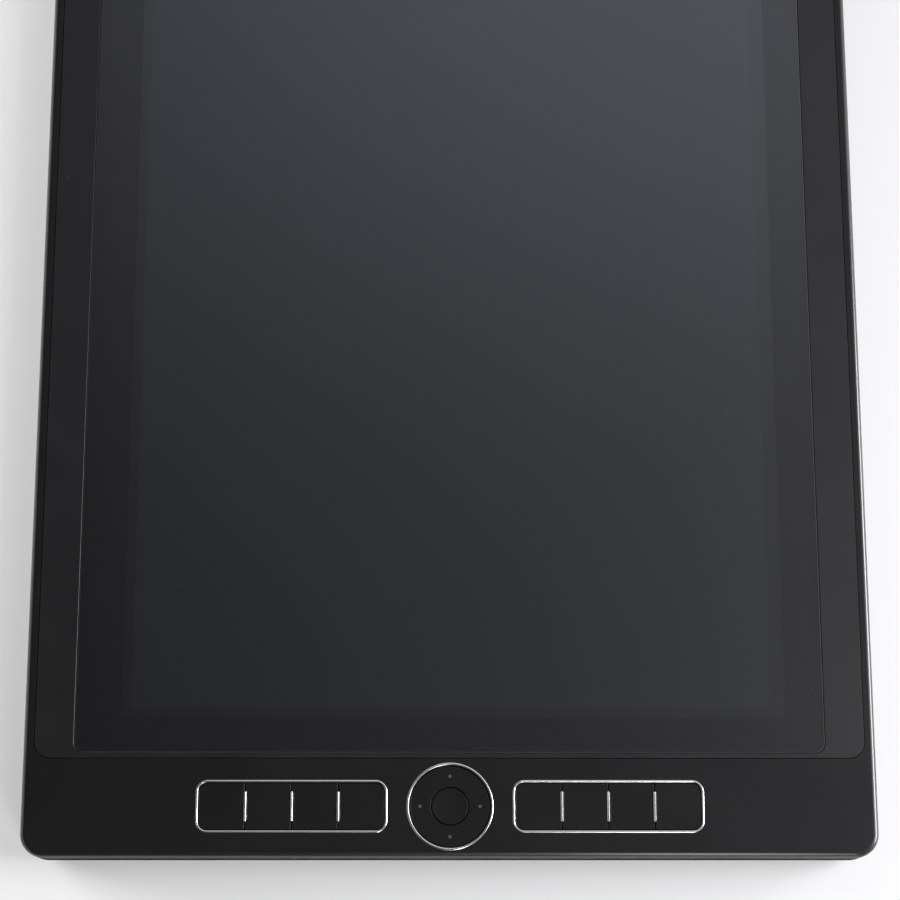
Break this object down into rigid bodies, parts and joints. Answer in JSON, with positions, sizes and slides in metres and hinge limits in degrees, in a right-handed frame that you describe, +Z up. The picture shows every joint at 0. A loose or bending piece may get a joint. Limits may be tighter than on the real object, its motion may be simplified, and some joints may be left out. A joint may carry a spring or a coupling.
{
  "type": "pen display tablet",
  "caption": "Flat pen tablet with its own screen: glass front, shortcut keys in two bright-rimmed groups, a four-way rocker round a home button, side buttons and end ports.",
  "frame": {"origin": "on the table, under the middle of the tablet", "axes": "+X along the long side, away from the key panel; +Y towards the top edge in landscape; +Z up out of the screen"},
  "size_m": [0.418, 0.262, 0.0192],
  "materials": {
    "housing_black": "matt black, fine texture",
    "cover_black": "matt black, fine texture",
    "bezel_black": "satin black",
    "etched_glass": "etched, low glare",
    "border_black": "black print under glass",
    "screen_dark": "dark grey, switched off",
    "bright_trim": "cut and polished edge",
    "key_black": "matt black",
    "pip_grey": "light grey print",
    "foot_rubber": "matt rubber",
    "foam_black": "closed-cell foam",
    "frame_metal": "cast and milled",
    "steel": "plated",
    "board_green": "solder mask",
    "chip_black": "moulded package",
    "copper": "bare copper",
    "guide_white": "white light guide",
    "inner_plastic": "moulded",
    "dome_clear": "translucent film",
    "cell_foil": "foil pouch",
    "ribbon_amber": "film"
  },
  "bodies": {
    "housing": {"front_housing": "housing_black", "rear_cover": "cover_black", "rubber_feet": "foot_rubber", "cover_screws": "steel", "lock_insert": "steel", "display_bezel": "bezel_black", "cover_glass": "etched_glass", "border_mask": "border_black", "display_gasket": "foam_black", "lcd_cell": "screen_dark", "backlight_unit": "guide_white", "lcd_chassis": "frame_metal", "digitizer_board": "board_green", "mid_frame": "frame_metal", "key_rim_top": "bright_trim", "key_rim_bottom": "bright_trim", "key_divider_bars": "bright_trim", "ring_rim": "bright_trim", "key_plate": "inner_plastic", "dome_sheet": "dome_clear", "key_board": "board_green", "key_screws": "steel", "main_board": "board_green", "board_screws": "steel", "processor": "chip_black", "cold_plate": "copper", "heat_pipes": "copper", "heat_fins": "frame_metal", "battery_cells": "cell_foil", "storage_card": "board_green", "wireless_card": "board_green", "key_cable": "ribbon_amber", "display_cable": "ribbon_amber", "data_ports": "steel", "headphone_jack": "inner_plastic", "card_slot": "steel", "side_button_board": "board_green", "button_bracket": "steel", "fan_housing_1": "inner_plastic", "fan_housing_2": "inner_plastic", "speaker_1": "inner_plastic", "speaker_2": "inner_plastic"},
    "key_1": {"shortcut_key_1": "key_black"},
    "key_2": {"shortcut_key_2": "key_black"},
    "key_3": {"shortcut_key_3": "key_black"},
    "key_4": {"shortcut_key_4": "key_black"},
    "key_5": {"shortcut_key_5": "key_black"},
    "key_6": {"shortcut_key_6": "key_black"},
    "key_7": {"shortcut_key_7": "key_black"},
    "key_8": {"shortcut_key_8": "key_black"},
    "home_button": {"home_button": "key_black"},
    "rocker_gimbal": {"rocker_gimbal": "steel"},
    "rocker": {"rocker_ring": "key_black", "ring_pips": "pip_grey"},
    "power_button": {"power_button": "key_black"},
    "volume_rocker": {"volume_rocker": "key_black"},
    "rotation_lock": {"rotation_lock": "key_black"},
    "fan_1": {"fan_rotor_1": "inner_plastic"},
    "fan_2": {"fan_rotor_2": "inner_plastic"}
  },
  "joints": [
    {"name": "key_1_press", "type": "slide", "parent": "housing", "child": "key_1", "axis": [0, 0, -1], "range_m": [0, 0.0006], "stiffness_N_per_m": 500, "springref_m": -0.0005},
    {"name": "key_2_press", "type": "slide", "parent": "housing", "child": "key_2", "axis": [0, 0, -1], "range_m": [0, 0.0006], "stiffness_N_per_m": 500, "springref_m": -0.0005},
    {"name": "key_3_press", "type": "slide", "parent": "housing", "child": "key_3", "axis": [0, 0, -1], "range_m": [0, 0.0006], "stiffness_N_per_m": 500, "springref_m": -0.0005},
    {"name": "key_4_press", "type": "slide", "parent": "housing", "child": "key_4", "axis": [0, 0, -1], "range_m": [0, 0.0006], "stiffness_N_per_m": 500, "springref_m": -0.0005},
    {"name": "key_5_press", "type": "slide", "parent": "housing", "child": "key_5", "axis": [0, 0, -1], "range_m": [0, 0.0006], "stiffness_N_per_m": 500, "springref_m": -0.0005},
    {"name": "key_6_press", "type": "slide", "parent": "housing", "child": "key_6", "axis": [0, 0, -1], "range_m": [0, 0.0006], "stiffness_N_per_m": 500, "springref_m": -0.0005},
    {"name": "key_7_press", "type": "slide", "parent": "housing", "child": "key_7", "axis": [0, 0, -1], "range_m": [0, 0.0006], "stiffness_N_per_m": 500, "springref_m": -0.0005},
    {"name": "key_8_press", "type": "slide", "parent": "housing", "child": "key_8", "axis": [0, 0, -1], "range_m": [0, 0.0006], "stiffness_N_per_m": 500, "springref_m": -0.0005},
    {"name": "home_press", "type": "slide", "parent": "housing", "child": "home_button", "axis": [0, 0, -1], "range_m": [0, 0.0006], "stiffness_N_per_m": 500, "springref_m": -0.0005},
    {"name": "rocker_tip_x", "type": "hinge", "parent": "housing", "child": "rocker_gimbal", "pos_m": [-0.19365, 0, 0.0147], "axis": [1, 0, 0], "range_deg": [-2, 2], "stiffness_Nm_per_rad": 0.07},
    {"name": "rocker_tip_y", "type": "hinge", "parent": "rocker_gimbal", "child": "rocker", "pos_m": [-0.19365, 0, 0.0147], "axis": [0, 1, 0], "range_deg": [-2, 2], "stiffness_Nm_per_rad": 0.07},
    {"name": "power_press", "type": "slide", "parent": "housing", "child": "power_button", "axis": [0, -1, 0], "range_m": [0, 0.0005], "stiffness_N_per_m": 500, "springref_m": -0.0005},
    {"name": "volume_tip", "type": "hinge", "parent": "housing", "child": "volume_rocker", "pos_m": [0.118, 0.127, 0.0078], "axis": [0, 0, 1], "range_deg": [-2, 2], "stiffness_Nm_per_rad": 0.07},
    {"name": "rotation_lock_slide", "type": "slide", "parent": "housing", "child": "rotation_lock", "axis": [1, 0, 0], "range_m": [0, 0.002]},
    {"name": "fan_1_spin", "type": "hinge", "parent": "housing", "child": "fan_1", "pos_m": [0.094, -0.092, 0.007], "axis": [0, 0, 1], "continuous": true},
    {"name": "fan_2_spin", "type": "hinge", "parent": "housing", "child": "fan_2", "pos_m": [0.16, -0.092, 0.007], "axis": [0, 0, 1], "continuous": true}
  ]
}
